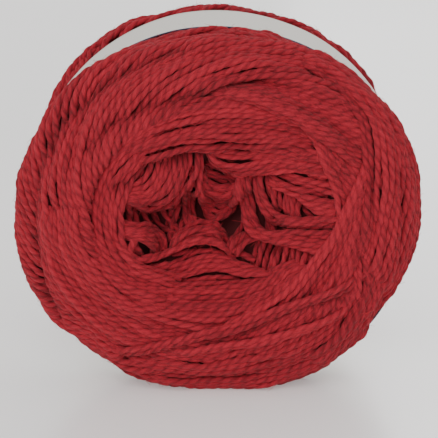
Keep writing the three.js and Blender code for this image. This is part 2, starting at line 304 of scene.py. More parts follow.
def curve_through(points, pieces=14):
    """A smooth line through given points."""
    p = np.array(points, float)
    p = np.concatenate([[2 * p[0] - p[1]], p, [2 * p[-1] - p[-2]]])
    t = np.linspace(0, 1, pieces, endpoint=False)[:, None]
    out = []
    for a, b, c, d in zip(p, p[1:], p[2:], p[3:], strict=False):
        out.append(
            0.5 * (2 * b + (c - a) * t + (2 * a - 5 * b + 4 * c - d) * t**2 + (3 * b - a - 3 * c + d) * t**3)
        )
    out.append(p[-2:-1])
    return np.concatenate(out)


def even_steps(end, line):
    """The same line with points YARN_STEP apart on the ball."""
    points = place(end, line)
    length = np.concatenate([[0], np.cumsum(np.linalg.norm(np.diff(points, axis=0), axis=1))])
    steps = max(int(length[-1] / YARN_STEP), 3)
    at = np.linspace(0, length[-1], steps + 1)
    return np.stack([np.interp(at, length, line[:, 0]), np.interp(at, length, line[:, 1])], -1)


def wandering(count, size, wave):
    """A slow random drift, for a turn that isn't laid quite true."""
    knots = max(int(count * YARN_STEP / wave) + 3, 4)
    values = random.normal(0, size, knots)
    return np.interp(np.linspace(0, knots - 1, count), np.arange(knots), values)


def footprint(end, flat):
    """The bed's cells near each point of a turn, and how far each lies along it and beside it."""
    right, up, out = directions(end, flat)
    way = np.gradient(flat, axis=0)
    along = right * way[:, :1] + up * way[:, 1:]
    along /= np.linalg.norm(along, axis=1, keepdims=True)
    cell = np.round(flat / CELL).astype(int) + HALF_CELLS
    offset = cell * CELL - HALF_CELLS * CELL - flat
    shift = near_cells[None] + offset[:, None]
    step = right[:, None] * shift[..., :1] + up[:, None] * shift[..., 1:]
    forward = (step * along[:, None]).sum(-1)
    beside = np.linalg.norm(step - along[:, None] * forward[..., None], axis=-1)
    cells = cell[:, None] + np.round(near_cells / CELL).astype(int)[None]
    cells = np.clip(cells, 0, CELLS - 1)
    return cells[..., 0], cells[..., 1], forward, beside, along, out


def lay_turn(end, line, under, lift=0.0, sinks=(END_SINK, END_SINK)):
    """Lays a turn along flat places, on top of what is there; under is the bed before its bundle."""
    flat = even_steps(end, line)
    drift = wandering(len(flat), DRIFT, DRIFT_WAVE)
    way = np.gradient(flat, axis=0)
    way /= np.linalg.norm(way, axis=1, keepdims=True)
    flat = flat + np.stack([-way[:, 1], way[:, 0]], -1) * drift[:, None]
    column, row, forward, beside, along, out = footprint(end, flat)
    bed = end["bed"]
    touched = (beside < PRESS_WIDTH) & (abs(forward) < PRESS_LENGTH)
    pressed = np.where(touched, bed[column, row], UNTOUCHED).max(1)
    pressed = np.minimum(pressed, np.where(touched, under[column, row], UNTOUCHED).max(1) + SECOND_TURN)
    height = np.maximum(pressed, blurred(pressed, SPANNED, 0))
    height = blurred(height, STIFFNESS, 0) + YARN_LAYER + lift
    run = np.arange(len(flat)) * YARN_STEP
    near_start = 1 - smoothstep(run, 0, END_RUN)
    near_end = 1 - smoothstep(run[::-1], 0, END_RUN)
    height -= sinks[0] * near_start + sinks[1] * near_end
    top = height[:, None] + np.sqrt(np.maximum(YARN_RADIUS**2 - beside**2, 0)) * YARN_LAYER / YARN_RADIUS
    inside = (beside < YARN_RADIUS) & (abs(forward) < YARN_STEP)
    np.maximum.at(bed, (column[inside], row[inside]), top[inside])
    end["turns"].append({"flat": flat, "height": height, "shade": random.normal(0, 1)})


def lay_bundle(end, first, last, turns, lift=(0.0, 0.0), sinks=(END_SINK, END_SINK)):
    """Turns side by side between two given lines."""
    a = np.array(first, float)
    b = np.array(last, float)
    under = end["bed"].copy()
    for k in range(turns):
        t = (k + 0.5 + random.normal(0, SPACING_DRIFT)) / turns
        lay_turn(end, curve_through(a + (b - a) * t), under, lift[0] + (lift[1] - lift[0]) * t, sinks)


def lay_legs(end, from_angle, to_angle, turns, sweep, start, finish, sinks=(END_SINK, END_SINK)):
    """Turns that follow each other round the ball, each sweeping from one reach to another."""
    under = end["bed"].copy()
    for k in range(turns):
        first = from_angle + (to_angle - from_angle) * (k + random.normal(0, LEG_DRIFT)) / max(turns - 1, 1)
        t = np.linspace(0, 1, 40)
        angle = np.radians(first + sweep * t)
        reach = start + (finish - start) * t
        lay_turn(end, np.stack([reach * np.cos(angle), reach * np.sin(angle)], -1), under, 0.0, sinks)


def lay_loops(end, count, first_angle, turn_by, nearest, furthest):
    """Whole turns as the machine laid them: near the middle at one place, off over the rim at both ends."""
    for k in range(count):
        middle = math.radians(first_angle + turn_by * k)
        closest = nearest + (furthest - nearest) * ((k * LOOP_SPREAD) % 1)
        lean = LOOP_CENTRE - closest
        swing = math.acos((LOOP_CENTRE - LOOP_END) / lean)
        angle = np.linspace(-swing, swing, 60)
        reach = LOOP_CENTRE - lean * np.cos(angle)
        line = np.stack([reach * np.cos(angle + middle), reach * np.sin(angle + middle)], -1)
        lay_turn(end, line, end["bed"], 0.0, (0, 0))


# Turns of the front end, from the lowest to the last wound
lay_loops(front, 44, 10, 137.5, 15, 44)
lay_legs(front, 0, 350, 60, -50, 36, 63, sinks=(1.6, 0))
lay_legs(front, 0, 357, 125, 40, 42, 63, sinks=(1.6, 0))
lay_legs(front, 0, 355, 70, -90, 25, 51)

# Turns that line the fallen middle
lay_legs(front, 0, 350, 32, 150, 6, 25)
lay_legs(front, 10, 350, 30, -120, 9, 27)

# Strands that hang in the pits of the middle
lay_bundle(
    front,
    [(-3, 11.5), (-2, 8), (0.8, 6.3), (3.4, 7.5), (4.8, 11)],
    [(-4.6, 8), (-3.6, 1.5), (0, -1.2), (3.4, 1.6), (4.8, 7)],
    turns=12, lift=(0.8, 1.6), sinks=(0.8, 0.8),
)
# Short strands under the right loops
lay_bundle(
    front,
    [(8.6, -6), (8, -10), (6, -14.5), (3.5, -18)],
    [(23, -7), (22, -12), (19.5, -16.5), (15, -21)],
    turns=10, lift=(0.2, 0.2), sinks=(0.5, 1.6),
)
# Wavy turns under the middle
lay_bundle(
    front,
    [(-22, -6), (-17, -12), (-8, -14.5), (2, -14), (10, -13.5), (18, -10)],
    [(-29, -9), (-22, -19), (-12, -25), (0, -26.5), (10, -22), (20, -12)],
    turns=11,
)
lay_bundle(
    front,
    [(-19, -9.5), (-14, -11.2), (-8, -10.5), (-4, -9), (0, -9), (4, -11), (9, -12.5)],
    [(-22, -11), (-16, -14), (-9, -15), (-3, -14), (1, -14), (5, -14.7), (12, -14.5)],
    turns=5, lift=(0.6, 0.3),
)
# Lower lobe and left lobe
lay_bundle(
    front,
    [(-10.6, -9.5), (-9.8, -4.5), (-6.8, -1.4), (-2.5, -0.8), (1.2, -2.2), (3, -7)],
    [(-14, -10.5), (-9.5, -9), (-5.5, -7), (-1.2, -6.2), (2.5, -8.8), (8, -11)],
    turns=7, lift=(0.2, 1.0), sinks=(0.5, 0.8),
)
lay_bundle(
    front,
    [(-22, 1), (-18.5, -0.6), (-14.5, -1.1), (-11.8, -4), (-11.8, -8)],
    [(-20.5, -4), (-18.5, -5), (-16.5, -6.3), (-15, -8), (-14.6, -10)],
    turns=6, lift=(1.0, 1.2), sinks=(1.0, 0.6),
)
lay_bundle(
    front,
    [(-17.6, -4), (-18.3, -7.5), (-16.5, -8.8), (-13.5, -8.8), (-10, -7.6), (-6, -6), (-1, -6.4),
     (3, -9)],
    [(-19, -4), (-20, -8.5), (-17.5, -10.6), (-13.5, -10.4), (-9.5, -9), (-5, -7.4), (-0.5, -7.8),
     (4, -10.6)],
    turns=2, lift=(0.4, 0.4),
)
lay_bundle(
    front,
    [(1.8, -9), (2.4, -6.5), (3.6, -4), (4.4, 0)],
    [(4, -10), (5.4, -8), (7, -6.6), (9, -6.5)],
    turns=5, lift=(0.4, 0.4), sinks=(0.8, 0.8),
)
# Turns that hang behind the loops
lay_bundle(
    front,
    [(7, 12), (7.8, 7), (8.6, 2.5), (9.6, -2), (11, -6)],
    [(11.6, 12), (11.8, 7), (12.2, 2.5), (13, -2), (14.5, -5.5)],
    turns=5, lift=(0.2, 0.2), sinks=(0.8, 0.8),
)
# Right inner turns
lay_bundle(
    front,
    [(11.4, 9), (11.6, 4), (12, -1.5)],
    [(18.2, 8.5), (18, 3.5), (17.4, -1.5)],
    turns=6, lift=(0.5, 0.5), sinks=(0.5, 0.5),
)
lay_bundle(
    front,
    [(9.5, 12.5), (13, 11.4), (18, 10.6), (23, 9.6), (29, 8)],
    [(10, 8.2), (14.5, 7), (19, 5), (23, 1.6), (28, -1)],
    turns=5, lift=(0.4, 0.2),
)
lay_bundle(
    front,
    [(17, 8), (20, 6.6), (23, 5.4), (28, 4.5)],
    [(18, 4), (20.5, 2.6), (23, 1.6), (28, 0.5)],
    turns=4, lift=(0.2, 0.2),
)
# Second loop, first loop
lay_bundle(
    front,
    [(6.7, 12.5), (6.9, 8), (7.6, 4.5), (8.6, 1.2), (12, -1.8), (17, -2), (25, -1.6), (29, -2.4)],
    [(9.6, 12.5), (9.5, 8.5), (9.9, 5.5), (10.8, 3), (13.5, 0.9), (17, 0.3), (22, 1), (28, 1.5)],
    turns=4, lift=(0.4, 0.4),
)
lay_bundle(
    front,
    [(4, 12.5), (3.9, 8), (4, 4), (4.7, -1), (7, -5), (11, -7.2), (15, -7), (21, -8.2), (27, -9)],
    [(7, 13), (6.8, 8), (6.9, 4), (7.6, -0.5), (9.9, -3.2), (13, -3.6), (18, -2.6), (25, -2.2),
     (29, -3)],
    turns=5, lift=(0.6, 0.6),
)
# Left flap
lay_bundle(
    front,
    [(-2.6, 16.5), (-3.6, 11), (-4.4, 5), (-4.8, 0), (-4.8, -3)],
    [(-5, 16), (-6.5, 10.5), (-7.3, 5), (-7.6, 0.5), (-7.5, -3)],
    turns=3, lift=(0.3, 0.3), sinks=(1.6, 3),
)
lay_bundle(
    front,
    [(-3.2, 17), (-5.5, 9), (-8, 3.5), (-11.5, 0.9), (-15.5, 1), (-19, 3.4), (-22, 5)],
    [(-14, 16.5), (-15.4, 13), (-16.6, 10.6), (-18, 9.4), (-20, 9.4), (-22, 10), (-24, 10)],
    turns=9, lift=(0.8, 0.3),
)
# Upper swag
lay_bundle(
    front,
    [(-2.5, 17), (-1.6, 13.5), (0, 10.8), (3, 9.2), (7, 10.2), (12, 11.2), (18, 11.6), (27, 10)],
    [(-3, 19.5), (-1.4, 18), (1.5, 16.6), (5, 16.2), (9, 16.8), (14, 17), (20, 17), (28, 15)],
    turns=7, lift=(0.6, 0.4),
)
# Fan of turns over the flap, and arcs round the left of the middle
lay_bundle(
    front,
    [(-24, 9), (-20, 11.5), (-13, 14.8), (-4, 16.6), (6, 16.2), (16, 16.2), (27, 13.5)],
    [(-29, 13), (-24, 21.5), (-15, 28), (-5, 32), (5, 33), (15, 30), (27, 23)],
    turns=13,
)
lay_bundle(
    front,
    [(-15, 14), (-19.6, 8), (-20.8, 1), (-20.5, -6), (-17, -11), (-8, -14.5)],
    [(-20, 21), (-27, 14), (-30, 2), (-28.5, -8), (-22, -17), (-12, -22)],
    turns=8,
)
# Right upper fan and the turns that bend down beside it
lay_bundle(
    front,
    [(-6, 36), (3, 32), (10, 28.5), (17, 24.5), (21, 20), (23, 14), (25, 7), (26.5, 1), (27, -4)],
    [(2, 37), (10, 33.5), (16, 29.5), (22, 24.5), (27, 20), (31, 14.5), (34, 8), (34.5, 1), (34, -6)],
    turns=8,
)
lay_bundle(
    front,
    [(-9, 34), (-2, 32.4), (6, 30.3), (14, 26.5), (20, 22.5), (26, 17.5), (35, 9.5)],
    [(1, 42), (8, 39.5), (13, 38), (19, 36.7), (25, 35), (31, 32), (39, 27)],
    turns=14,
)
# Ring of the upper left, which runs out over the rim at the top
lay_legs(front, 235, 118, 21, -98, 28, 50)
# Lower left
lay_bundle(
    front,
    [(-31, 6), (-31, -3), (-27, -12), (-20, -19.5), (-12, -24), (-3, -26.5), (6, -27)],
    [(-43, 2), (-42, -10), (-38, -20), (-32, -29), (-23, -36), (-12, -40), (0, -41)],
    turns=12,
)
# Right lower
lay_bundle(
    front,
    [(37, 26), (33.5, 17), (30.3, 9), (27, 2), (24, -5), (20, -11), (14.5, -18), (7, -23), (-1, -26.5)],
    [(42, 24), (39.5, 14), (36, 6), (33.5, -2), (31.5, -9), (28, -17), (23, -25.5), (16, -31.5),
     (7, -36.5)],
    turns=10,
)
# Two chords across the lower part, and the foot
lay_bundle(
    front,
    [(-26, -33), (-14, -37), (0, -36.5), (12, -33.5), (20, -30), (28, -24)],
    [(-38, -36), (-22, -47), (-4, -52), (14, -51), (28, -45), (40, -33)],
    turns=13,
)
lay_bundle(
    front,
    [(-24, -37), (-15, -33.6), (-5, -30.2), (5, -27.4), (15, -22.8), (24, -19.2), (32, -16)],
    [(-26, -35.5), (-15, -31.6), (-5, -28), (5, -25.2), (15, -20.8), (24, -17.6), (31, -14)],
    turns=2, lift=(0.3, 0.3),
)
lay_bundle(
    front,
    [(-10, -35.5), (-2, -33.4), (7, -32), (15, -30), (22, -27.4), (30, -24)],
    [(-9, -33.6), (-1, -31.3), (7, -30), (15, -28), (22, -25.4), (30, -21.5)],
    turns=2, lift=(0.3, 0.3),
)
lay_bundle(
    front,
    [(34, 15), (35.5, 6), (35.5, -3), (34.5, -12), (31.5, -21), (26.5, -29), (19, -36)],
    [(38, 15), (40, 5), (41, -5), (40, -14), (36.5, -24), (31, -33), (23, -41)],
    turns=6,
)
# Outer right
lay_bundle(
    front,
    [(17, 40), (24, 36.5), (28.5, 31), (31, 25), (32, 17), (32.3, 9), (32, 1), (31, -8)],
    [(26, 49), (36, 40), (42, 30), (46.5, 19), (49, 8), (49, -5), (46.5, -16), (41, -27)],
    turns=14,
)
# Twist over the left rim
lay_legs(front, 84, 192, 25, 58, 62, 42, sinks=(0, 1.6))

# Turns of the back end
lay_loops(back, 50, 40, 137.5, 13, 44)
lay_legs(back, 0, 340, 20, 150, 3, 14)
lay_legs(back, 0, 350, 30, -140, 5, 20)
lay_legs(back, 10, 350, 34, 130, 9, 27)
lay_legs(back, 0, 330, 50, -66, 30, 62, sinks=(1.6, 0))
lay_legs(back, 0, 357, 120, 42, 40, 63, sinks=(1.6, 0))
lay_legs(back, 0, 355, 70, 90, 22, 51)
lay_legs(back, 60, 85, 8, -50, 36, 62, sinks=(1.6, 0))
lay_legs(back, 190, 220, 9, -50, 36, 62, sinks=(1.6, 0))
lay_legs(back, 20, 170, 18, -95, 22, 40)
lay_legs(back, 200, 340, 18, -95, 21, 40)
lay_legs(back, 90, 240, 16, 100, 16, 30)
lay_legs(back, 280, 420, 16, 100, 16, 30)
lay_legs(back, 0, 120, 15, 80, 30, 52)
lay_legs(back, 180, 290, 14, 80, 30, 52)

band_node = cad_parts["band"]
band_tree = BVHTree.FromObject(band_node, bpy.context.evaluated_depsgraph_get())
BAND_REST = -0.85  # how deep a turn lies under the paper
HELD_FADE = (0.6, 3.2)  # past the paper's edge, where it still holds the turns down
SLACK_FADE = (1, 7)  # past the edge, where the turns swell to fill what the paper leaves
MOST_SLACK = 6
SLACK_BLUR = 2.0  # steps
band_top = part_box("band")[1].z / MM
band_length = 26.2
band_lean = 6 / 78  # it sits a little askew
band_middle = 1.1 + AXIS[1]


def past_band(points):
    """How far past the paper band's edges points lie, less than 0 under it."""
    middle = band_middle + band_lean * (points[:, 2] - band_top / 2)
    return abs(points[:, 1] - middle) - band_length / 2


def band_slack(points, out):
    """How far the band stands over the solid at and beside it, which the yarn fills."""
    slack = np.zeros(len(points))
    for i in np.flatnonzero(past_band(points) < SLACK_FADE[1]):
        near = band_tree.find_nearest(Vector(points[i] * MM), MOST_SLACK * MM)[0]
        if near is not None:
            slack[i] = max((np.array(near) / MM - points[i]) @ out[i], 0)
    return blurred(slack, SLACK_BLUR, 0)


# Grooves between the bundles of the front end, each with its depth: along the left rim, along the upper rim,
# along the right rim, beside the lower chords, and under the fan over the flap
CREASES = [
    (1.5, [(-8, 43.5), (-13, 42), (-18, 39.5), (-25, 35.2), (-30, 30.7), (-35.5, 25.6), (-39, 20),
           (-41.5, 13.5), (-42, 5), (-42.5, -3.5), (-42, -10), (-41.3, -16.5), (-40, -22), (-38, -29)]),
    (1.2, [(-29, 18), (-25, 23), (-22, 25.5), (-14, 29.5), (-6, 31.7), (-3, 32.5), (3, 34), (7, 35)]),
    (0.7, [(24, 37), (29, 31.5), (32, 25), (33.5, 18), (34, 10), (33.5, 3), (32, -5), (31, -9)]),
    (1.1, [(-22, -36.5), (-15, -34.4), (-5, -31), (0, -29.8), (5, -28.2), (10, -25.9), (15, -23.6),
           (20, -21.4), (28, -18.4)]),
    (1.1, [(-23, 8.6), (-20, 9.8), (-17, 12.6), (-12, 13.9), (-8, 15.2), (-3, 15.6)]),
]
CREASE_WIDTH = 1.0
CREASE_PAINTED_SHADE = 3  # painted shade: how much darker the wool is painted in a groove, per mm of depth
COVER_WIDTH = 0.6  # beside a turn's middle, where what lies over it hides it
LEAST_COVER = 0.6  # of a layer
COVER_BLUR = 1.5  # steps
SHOWN_BLUR = 1.4  # steps over which the stretches that show are widened
SHOWN_LEAST = 0.02
SHORTEST_RUN = 5  # steps


def crease_at(flat):
    """How deep the grooves between bundles are at each place."""
    most = np.zeros(len(flat))
    for depth, line in CREASES:
        along = curve_through(line, 8)
        away = np.hypot(flat[:, None, 0] - along[None, :, 0], flat[:, None, 1] - along[None, :, 1]).min(1)
        most = np.maximum(most, depth * np.exp(-((away / CREASE_WIDTH) ** 2)))
    return most


def smooth_bed(bed, width):
    """The bed averaged over a width in mm."""
    return blurred(blurred(bed, width / CELL, 0), width / CELL, 1)


def spun_turns(end):
    """The turns that show, as lines of points in the air with the way out of the ball."""
    bed = end["bed"]
    bundle = smooth_bed(bed, BUNDLE_WIDTH)
    relief = bundle - smooth_bed(bed, SETTLED_WIDTH)
    steps = (np.arange(CELLS) - HALF_CELLS) * CELL
    middle = 1 - smoothstep(np.hypot(*np.meshgrid(steps, steps)), *MIDDLE_FADE)
    most = BUNDLE_RELIEF + (MIDDLE_RELIEF - BUNDLE_RELIEF) * middle
    settled = most * np.tanh(relief / most) + LIE + (MIDDLE_LIE - LIE) * middle
    spun = []
    for turn in end["turns"]:
        flat = turn["flat"]
        column, row, forward, beside, along, out = footprint(end, flat)
        over_it = beside < COVER_WIDTH
        cover = np.where(over_it, bed[column, row], 0).sum(1) / over_it.sum(1)
        buried = cover - turn["height"] - YARN_LAYER > BURIED
        shows = blurred((~buried).astype(float), SHOWN_BLUR, 0) > SHOWN_LEAST
        base = place(end, flat)
        at = np.round(flat / CELL).astype(int) + HALF_CELLS
        at = at.clip(0, CELLS - 1)
        cover = blurred(np.maximum(cover, turn["height"] + YARN_LAYER * LEAST_COVER), COVER_BLUR, 0)
        step = np.clip(cover - bundle[at[:, 0], at[:, 1]], -STEP_DOWN, STEP_UP)
        crease = crease_at(flat) if end is front else np.zeros(len(flat))
        uneven = UNEVEN + (UNEVEN_MIDDLE - UNEVEN) * middle[at[:, 0], at[:, 1]]
        height = turn["height"] - cover + step + settled[at[:, 0], at[:, 1]] - crease
        height -= FLAT_LEFT * smoothstep(-base[:, 0], *FAR_LEFT)
        if end is back:
            left = smoothstep(-base[:, 0], *SHOULDER_SIDE)
            right = smoothstep(base[:, 0], *SHOULDER_SIDE)
            upper = smoothstep(base[:, 2], *SHOULDER_HEIGHT)
            height += (FULL_SHOULDER * left - LOW_SHOULDER * right) * upper
        height = np.maximum(height + uneven * wandering(len(flat), 1, UNEVEN_WAVE), DEEPEST)
        past = past_band(base)
        held = 1 - smoothstep(past, *HELD_FADE)
        slack = band_slack(base, out) * (1 - smoothstep(past, *SLACK_FADE))
        height += slack
        height = height * (1 - held) + np.minimum(height, BAND_REST + slack) * held
        edges = np.flatnonzero(np.diff(np.concatenate([[0], shows.astype(int), [0]])))
        for a, b in zip(edges[::2], edges[1::2], strict=True):
            if b - a > SHORTEST_RUN:
                run = np.arange(b - a) * YARN_STEP
                dip = smoothstep(np.minimum(run, run[::-1]), 0, CUT_RUN)
                points = base[a:b] + out[a:b] * (height[a:b] - CUT_SINK * (1 - dip))[:, None]
                points[:, 2] = np.maximum(points[:, 2], LOWEST)
                # In the grooves between bundles the turns are painted darker, as shade, on top of their own
                # tone.
                spun.append((points, out[a:b], turn["shade"] - CREASE_PAINTED_SHADE * crease[a:b]))
    return spun


TWIST_LENGTH = 5.2  # of yarn for one turn of its two plies
PLY_OUTLINE = np.array([0.79, 0.74, 0.60, 0.74] * 2)  # from the yarn's middle, round it
PLY_GROOVE_SHADE = np.array([0, 0.25, 1, 0.25] * 2)  # painted shade round the yarn, 1 in the groove between the plies
SLACK_THICK = 0.87  # of the yarn that hangs loose in the fallen middle, next to 1 where it is pressed flat
SLACK_REACH = (14, 23)
TWIST_DRIFT = (0.25, 9)  # how far the twist strays, in radians, and how slowly
THICK_DRIFT = (0.05, 5)  # how unevenly the yarn is spun
LINE_BLUR = 0.7  # steps
FIBRE_SHIFT = 400  # so that each turn has other hairs
SIDES = len(PLY_OUTLINE)


def add_layer(made, label, values, kind="FLOAT"):
    """A value at each point of a piece, which its material reads."""
    layer = made.data.attributes.new(label, kind, "POINT")
    layer.data.foreach_set("value" if kind == "FLOAT" else "vector", values.astype(np.float32).ravel())


def spin(name, turns, material):
    """Two-ply yarn along each line, as one mesh, with what its wool needs at each point."""
    points = []
    faces = []
    shades = []
    groove_shades = []
    fibres = []
    count = 0
    spread = 2 * np.pi * np.arange(SIDES) / SIDES
    for line, out, shade in turns:
        line = np.stack([blurred(line[:, i], LINE_BLUR, 0) for i in range(3)], -1)
        way = np.gradient(line, axis=0)
        way /= np.linalg.norm(way, axis=1, keepdims=True)
        rise = out - way * (out * way).sum(1, keepdims=True)
        rise /= np.linalg.norm(rise, axis=1, keepdims=True)
        side = np.cross(way, rise)
        n = len(line)
        run = np.arange(n) * YARN_STEP
        ply = -2 * np.pi * (run / TWIST_LENGTH + random.random()) + wandering(n, *TWIST_DRIFT)
        pressed = smoothstep(np.hypot(line[:, 0] - AXIS[0], line[:, 2] - AXIS[2]), *SLACK_REACH)
        thick = SLACK_THICK + (1 - SLACK_THICK) * pressed + wandering(n, *THICK_DRIFT)
        angle = ply[:, None] + spread[None]
        outline = PLY_OUTLINE[None] * thick[:, None]
        ring = (
            line[:, None]
            + rise[:, None] * (np.cos(angle) * outline)[..., None]
            + side[:, None] * (np.sin(angle) * outline)[..., None]
        )
        points.append(ring.reshape(-1, 3))
        a = np.arange(n - 1)[:, None] * SIDES + np.arange(SIDES)[None]
        b = np.arange(n - 1)[:, None] * SIDES + (np.arange(SIDES)[None] + 1) % SIDES
        faces.append(np.stack([a, b, b + SIDES, a + SIDES], -1).reshape(-1, 4) + count)
        shades.append(np.repeat(shade, SIDES))
        groove_shades.append(np.tile(PLY_GROOVE_SHADE, n))
        far_along = np.repeat(run + FIBRE_SHIFT * random.random(), SIDES)
        fibres.append(np.stack([far_along, np.tile(np.cos(spread), n), np.tile(np.sin(spread), n)], -1))
        count += n * SIDES
    made = mesh_object(name, np.concatenate(points), np.concatenate(faces), material)
    add_layer(made, "shade", np.concatenate(shades))
    add_layer(made, "groove_shade", np.concatenate(groove_shades))
    add_layer(made, "fibre", np.concatenate(fibres), "FLOAT_VECTOR")
    return made


# The wool's colour is mixed from dark to light wool by a tone. The fibre noise and each turn's own tone are
# the wool's. The darkening toward the grooves between the plies is painted shade, and so is the darkening in
# the grooves between bundles, which comes in with each turn's tone.
LIGHT_WOOL = (0.425, 0.021, 0.036)
DARK_WOOL = (0.095, 0.006, 0.009)
BASE_TONE = -0.58  # 0 is dark wool and 1 light
GROOVE_PAINTED_SHADE = -0.38
SHADE_TONE = 0.07
HAIR_TONE = 2.4
wool = bpy.data.materials.new("wool")
wool.use_nodes = True
nodes = wool.node_tree.nodes
links = wool.node_tree.links


def read_layer(label):
    """The value that a piece holds at each of its points."""
    node = nodes.new("ShaderNodeAttribute")
    node.attribute_name = label
    return node


def add_up(first, factor, second):
    """first × factor + second, where second is a socket or a number."""
    node = nodes.new("ShaderNodeMath")
    node.operation = "MULTIPLY_ADD"
    links.new(first, node.inputs[0])
    node.inputs[1].default_value = factor
    if isinstance(second, float):
        node.inputs[2].default_value = second
    else:
        links.new(second, node.inputs[2])
    return node.outputs[0]


stretch = nodes.new("ShaderNodeMapping")
stretch.inputs["Scale"].default_value = (0.7, 3.4, 3.4)
links.new(read_layer("fibre").outputs["Vector"], stretch.inputs["Vector"])
hairs = nodes.new("ShaderNodeTexNoise")
hairs.inputs["Scale"].default_value = 1.0
hairs.inputs["Detail"].default_value = 5.0
hairs.inputs["Roughness"].default_value = 0.85
links.new(stretch.outputs["Vector"], hairs.inputs["Vector"])
# Painted shade: the wool is darkened toward the grooves between the plies.
tone = add_up(read_layer("groove_shade").outputs["Fac"], GROOVE_PAINTED_SHADE, BASE_TONE)
tone = add_up(read_layer("shade").outputs["Fac"], SHADE_TONE, tone)
tone = add_up(hairs.outputs["Fac"], HAIR_TONE, tone)
mix = nodes.new("ShaderNodeMix")
mix.data_type = "RGBA"
mix.inputs["A"].default_value = (*DARK_WOOL, 1)
mix.inputs["B"].default_value = (*LIGHT_WOOL, 1)
links.new(tone, mix.inputs["Factor"])
bump = nodes.new("ShaderNodeBump")
bump.inputs["Strength"].default_value = 0.8
bump.inputs["Distance"].default_value = 0.0002
links.new(hairs.outputs["Fac"], bump.inputs["Height"])
wool_shader = nodes["Principled BSDF"]
links.new(next(out for out in mix.outputs if out.type == "RGBA"), wool_shader.inputs["Base Color"])
links.new(bump.outputs["Normal"], wool_shader.inputs["Normal"])
wool_shader.inputs["Roughness"].default_value = 0.85
wool_shader.inputs["Specular IOR Level"].default_value = 0.15
wool_shader.inputs["Subsurface Weight"].default_value = 0.15
wool_shader.inputs["Subsurface Radius"].default_value = (1.0, 0.25, 0.2)
wool_shader.inputs["Subsurface Scale"].default_value = 0.001
wool_shader.inputs["Sheen Weight"].default_value = 0.08
wool_shader.inputs["Sheen Roughness"].default_value = 0.5
wool_shader.inputs["Sheen Tint"].default_value = (1.0, 0.45, 0.45, 1)

LARGEST_PIECE = 95000  # quads of one piece, each of two triangles
all_spun = []
for end, name in ((front, "front_turns"), (back, "back_turns")):
    spun = spun_turns(end)
    all_spun += spun
    sizes = np.cumsum([(len(line) - 1) * SIDES for line, _, _ in spun])
    pieces = math.ceil(sizes[-1] / LARGEST_PIECE)
    for k in range(pieces):
        low = sizes[-1] * k / pieces
        high = sizes[-1] * (k + 1) / pieces
        part = [turn for turn, size in zip(spun, sizes, strict=True) if low < size <= high]
        group = spin(f"{name}_{k + 1}", part, wool)
        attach(group, "root")


# FUZZ
# Loose fibres of the same wool that work out of the carded yarn and stand off it all over. They look a little
# lighter than the yarn, because light passes through them.
FUZZ_COUNT = 30000
FUZZ_THICK = 0.04  # half a fibre's width at its root
FUZZ_LONGEST = 2.6
FUZZ_ROOT = 0.68  # how far from the yarn's middle a fibre starts
FUZZ_LENGTHS = (3, 0.34)  # shape and scale of how long the fibres are, about 1 mm on average
FUZZ_LEAN = 1.2  # radians to a side
FUZZ_LOWEST = 0.05
FUZZ_POINTS = 8  # of one fibre


def grow_fuzz():
    """Fibres as narrow ribbons of three bent lengths each."""
    lengths = np.array([len(line) for line, _, _ in all_spun])
    picks = random.choice(len(all_spun), FUZZ_COUNT, p=lengths / lengths.sum())
    points = []
    faces = []
    for k, pick in enumerate(picks):
        line, out, _ = all_spun[pick]
        i = random.integers(1, len(line) - 1)
        way = line[i + 1] - line[i - 1]
        way /= np.linalg.norm(way)
        side = np.cross(way, out[i])
        lean = random.uniform(-FUZZ_LEAN, FUZZ_LEAN)
        rise = out[i] * math.cos(lean) + side * math.sin(lean)
        long = min(random.gamma(*FUZZ_LENGTHS), FUZZ_LONGEST)
        start = way * random.normal(0, 1) + rise * 0.7
        bend = way * random.normal(0, 0.9) + side * random.normal(0, 0.7) - rise * random.uniform(-0.2, 0.9)
        across = np.cross(start, bend)
        across *= FUZZ_THICK / np.linalg.norm(across)
        for t in (0, 0.33, 0.66, 1):
            middle = line[i] + rise * FUZZ_ROOT + (start * t + bend * t * t * 0.6) * long * 0.7
            points += [middle - across * (1 - 0.6 * t), middle + across * (1 - 0.6 * t)]
        for a in range(k * FUZZ_POINTS, (k + 1) * FUZZ_POINTS - 2, 2):
            faces.append((a, a + 1, a + 3, a + 2))
    points = np.array(points)
    points[:, 2] = np.maximum(points[:, 2], FUZZ_LOWEST)
    return mesh_object("fuzz", points, np.array(faces), fluff)


fluff = bpy.data.materials.new("loose fibres")
fluff.use_nodes = True
fluff_shader = fluff.node_tree.nodes["Principled BSDF"]
fluff_shader.inputs["Base Color"].default_value = (0.44, 0.032, 0.042, 1)
fluff_shader.inputs["Roughness"].default_value = 0.9
fluff_shader.inputs["Specular IOR Level"].default_value = 0.1
fuzz = grow_fuzz()
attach(fuzz, "root")


# PAPER BAND
# A strip of matt uncoated paper glued to a sleeve round the waist, its outer end lapped over the inner one
# near the foot. It is pale, with a thin dark blue line printed along its front edge.
PAPER_THICK = 0.22  # a little more than the real paper, so that its edge shows
PAPER_TURN_STEPS = 320
PAPER_ROWS = 16
LAP = 14  # degrees
SEAM = -70  # degrees round the axis from the right
LAP_RISE = 1.3  # how far the outer end stands out, in thicknesses
PAPER_WAVE = (0.12, 14)  # how far the paper's edges wave, and how slowly
PAPER_BLUR = (2.0, 0.8)  # steps round and across
PAPER_LOWEST = 0.03
PAPER_SPAN = 0.49  # half the paper's width as a share of the sleeve's length
BAND_RADIUS = 40.0  # a first guess
BAND_OUTSIDE = 80  # a radius well outside the band
BAND_NEAR_SIDE = 55  # how far in from there the near side can lie


